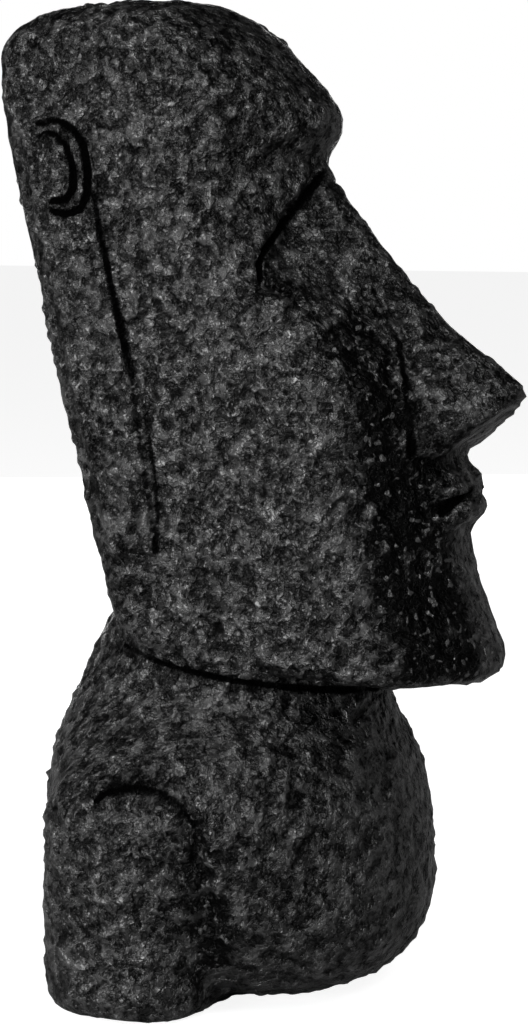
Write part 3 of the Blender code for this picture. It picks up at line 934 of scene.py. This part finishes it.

# %% Height, wear and painted shade of the stone
GRIT = (0.0020, 3, 0.70)         # size, detail and roughness of each noise
PECKS = (0.0085, 1, 0.50)
SPECKS = (0.0042, 1, 0.50)
SPECK_STEP = (0.60, 0.68)
PECK_HEIGHT = 0.0060
GRIT_HEIGHT = 0.0003
SPECK_HEIGHT = 0.0004
RAISED_TONE = 0.8
GRIT_WEAR = 1.8
GROOVE_SHADE = 5.0
# Darkness of the painted shade, and how much specks in it are lightened as painted glints.
SHADE_DARKNESS = 1.8
SPECK_GLINT = 3.8


def height_and_wear(tree, place, grit, pecks):
    """Height: noises and chips. Tone: raised + grit + chips - painted shade + painted glints."""
    speck = step_up(tree, noise_value(tree, place, *SPECKS), *SPECK_STEP)
    height = math_node(tree, "MULTIPLY", pecks, PECK_HEIGHT)
    height = plus(tree, height, grit, GRIT_HEIGHT)
    height = plus(tree, height, speck, SPECK_HEIGHT)
    wear_and_shade = math_node(tree, "MULTIPLY", point_value(tree, "raised"), RAISED_TONE)
    wear_and_shade = plus(tree, wear_and_shade, grit, GRIT_WEAR)
    # The grooves are painted black: painted shade.
    wear_and_shade = plus(tree, wear_and_shade, point_value(tree, "sunk"), -GROOVE_SHADE)
    # Where the mesh keeps dark: painted shade, with specks lightened in it as painted glints.
    shade_with_glints = math_node(tree, "MULTIPLY_ADD", speck, SPECK_GLINT, -SHADE_DARKNESS)
    wear_and_shade = plus(tree, wear_and_shade, point_value(tree, "dark"), shade_with_glints)
    return chips(tree, place, height, wear_and_shade)


print("tallest noise:", round(1000 * PECK_HEIGHT, 1), "mm")

# %% Black stone
WEAR_AND_SHADE_RANGE = (-0.2, 2.8)               # wear and painted shade at which the stone is black, and fully grey
GREYS = ((0.0, 0.0008), (0.5, 0.009), (1.0, 0.040))
LEAST_SHINE = 0.05
GREY_SHINE = 0.56
DULL = (0.05, -0.55)             # groove's ragged edge, painted shade: no shine, and full shine
GRIT_RAGGED = 0.8
PECKS_RAGGED = 0.5
ROUGHNESS = 0.32


def grey_of(tree, tone):
    """Colour between the greys at 0, one half and 1."""
    ramp = tree.nodes.new("ShaderNodeValToRGB")
    elements = ramp.color_ramp.elements
    elements.new(GREYS[1][0])
    for element, (_, grey) in zip(elements, GREYS):
        element.color = (grey, grey, grey, 1)
    tree.links.new(tone, ramp.inputs["Fac"])
    return ramp.outputs["Color"]


def shine_of(tree, tone, grit, pecks):
    """Grey shines more than black; a groove and its ragged edge lose all shine, as painted shade."""
    ragged = plus(tree, point_value(tree, "sunk"), grit, -GRIT_RAGGED)
    ragged = plus(tree, ragged, pecks, -PECKS_RAGGED)
    shine = math_node(tree, "MULTIPLY_ADD", tone, GREY_SHINE, LEAST_SHINE)
    return math_node(tree, "MULTIPLY", shine, step_up(tree, ragged, *DULL))


def black_stone():
    """Satin stone: wear and painted shade set grey and shine; the height is a bump in metres."""
    material, tree, shader = new_material("black stone")
    place = tree.nodes.new("ShaderNodeTexCoord").outputs["Object"]
    grit = noise_value(tree, place, *GRIT)
    pecks = noise_value(tree, place, *PECKS)
    height, wear_and_shade = height_and_wear(tree, place, grit, pecks)
    tone = step_up(tree, wear_and_shade, *WEAR_AND_SHADE_RANGE)
    tree.links.new(grey_of(tree, tone), shader.inputs["Base Color"])
    tree.links.new(shine_of(tree, tone, grit, pecks), shader.inputs["Specular IOR Level"])
    shader.inputs["Roughness"].default_value = ROUGHNESS
    bump = tree.nodes.new("ShaderNodeBump")
    bump.inputs["Strength"].default_value = 1.0
    bump.inputs["Distance"].default_value = 1.0
    tree.links.new(height, bump.inputs["Height"])
    tree.links.new(bump.outputs["Normal"], shader.inputs["Normal"])
    return material


bust.data.materials.append(black_stone())
print("materials on the bust:", [slot.name for slot in bust.material_slots])

# %% [markdown]
# ## Floor, light and camera
#
# The bust stands on a plain pale floor in a white room. Black satin stone shows little more than
# what it reflects, and a room that lit it from all sides would turn it grey. So the room and the
# floor only look white, and the lights are soft boxes: one stands low beside the head, on the
# viewer's side, and one behind it, two hang high and find the crown, the brow and the nose, and
# two faint ones beyond the bust draw the edge of the chest. In front of the face it stays dark.

# %% Floor and room
FLOOR_HALF = 12.0
FLOOR_GREY = 0.4
FLOOR_GLOW = 0.9
ROOM_GLOW = 1.0


def seen_only(tree, strength):
    """A value that is the strength for what the viewer sees straight and zero for all else."""
    path = tree.nodes.new("ShaderNodeLightPath")
    return math_node(tree, "MULTIPLY", path.outputs["Is Camera Ray"], strength)


def pale_floor():
    """A dull grey that takes a shadow, with a glow that only the viewer sees."""
    material, tree, shader = new_material("pale floor")
    shader.inputs["Base Color"].default_value = (FLOOR_GREY, FLOOR_GREY, FLOOR_GREY, 1)
    shader.inputs["Roughness"].default_value = 0.9
    shader.inputs["Emission Color"].default_value = (1, 1, 1, 1)
    tree.links.new(seen_only(tree, FLOOR_GLOW), shader.inputs["Emission Strength"])
    return material


edge = np.array([(-1, -1, 0), (1, -1, 0), (1, 1, 0), (-1, 1, 0)]) * FLOOR_HALF
floor = mesh_object("floor", edge, np.array([[0, 1, 2, 3]]))
floor.data.materials.append(pale_floor())

room = bpy.data.worlds.new("room")
room.use_nodes = True
sky = room.node_tree.nodes["Background"]
sky.inputs["Color"].default_value = (1, 1, 1, 1)
room.node_tree.links.new(seen_only(room.node_tree, ROOM_GLOW), sky.inputs["Strength"])
bpy.context.scene.world = room
bpy.context.scene.view_settings.view_transform = "Standard"
print("floor:", 2 * FLOOR_HALF, "m wide")

# %% Lights
# Name, turn from the front of the face, distance, height, width, tallness and brightness
SOFT_BOXES = (
    ("left", 255, 2.3, 0.35, 0.7, 0.7, 29.0),
    ("back left", 210, 2.3, 1.05, 0.7, 0.7, 18.5),
    ("top", 300, 1.13, 2.37, 0.8, 0.8, 13.0),
    ("front", 330, 1.84, 1.79, 0.8, 0.8, 9.5),
    ("right", 75, 2.6, 0.50, 1.4, 1.0, 0.35),
    ("back right", 118, 2.6, 0.50, 1.4, 1.0, 3.0),
)


def soft_box(name, turn, away, up, width, tall, bright):
    """A rectangle of light that faces the bust. Its power is pi times its area and brightness."""
    angle = np.radians(turn)
    place = Vector((np.sin(angle) * away, -np.cos(angle) * away, up))
    lamp = bpy.data.lights.new(name, "AREA")
    lamp.shape = "RECTANGLE"
    lamp.size = width
    lamp.size_y = tall
    lamp.energy = np.pi * width * tall * bright
    made = bpy.data.objects.new(name, lamp)
    made.location = place
    made.rotation_euler = (Vector((0, 0, HEIGHT / 2)) - place).to_track_quat("-Z", "Y").to_euler()
    made.visible_camera = False
    bpy.context.scene.collection.objects.link(made)
    return made


for row in SOFT_BOXES:
    soft_box(*row)
print("soft boxes:", len(SOFT_BOXES))

# %% Camera
EYE = Vector((-1.352, -0.611, 0.4068))
AIM = Vector((0.0046, 0.0076, 0.2419))
LENS = 103.5
camera = bpy.data.objects.new("camera", bpy.data.cameras.new("camera"))
camera.data.lens = LENS
camera.location = EYE
camera.rotation_euler = (AIM - EYE).to_track_quat("-Z", "Y").to_euler()
bpy.context.scene.collection.objects.link(camera)
bpy.context.scene.camera = camera
print("camera", round((AIM - EYE).length, 3), "m from its aim")
